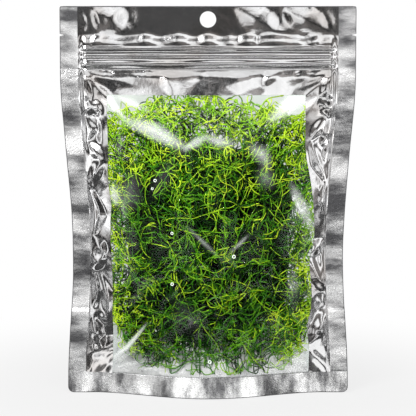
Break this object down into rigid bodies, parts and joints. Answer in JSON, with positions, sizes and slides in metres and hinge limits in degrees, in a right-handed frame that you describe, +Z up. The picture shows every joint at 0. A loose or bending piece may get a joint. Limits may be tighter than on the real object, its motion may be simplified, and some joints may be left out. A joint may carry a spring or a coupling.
{
  "type": "chaeto macroalgae in a windowed stand-up zip pouch",
  "caption": "Tangle of thread-like green algae sealed in a metallised stand-up pouch with a clear window, zip and hang hole.",
  "frame": {"origin": "on the ground under the middle of the standing pouch", "axes": "+Z up, the window faces -Y, +X to the right seen from the front"},
  "size_m": [0.15, 0.0476, 0.1994],
  "materials": {
    "foil": "bright metallised film with speckled heat-seal bands",
    "film": "clear glossy film",
    "zip_plastic": "translucent white, smooth",
    "algae": "wet green threads, brighter yellow-green at the tips"
  },
  "bodies": {
    "root": {"front_foil": "foil", "back_foil": "foil", "bottom_gusset": "foil", "window_film": "film", "zip_track_front": "zip_plastic", "zip_track_back": "zip_plastic", "chaeto_tangle": "algae"}
  },
  "joints": []
}
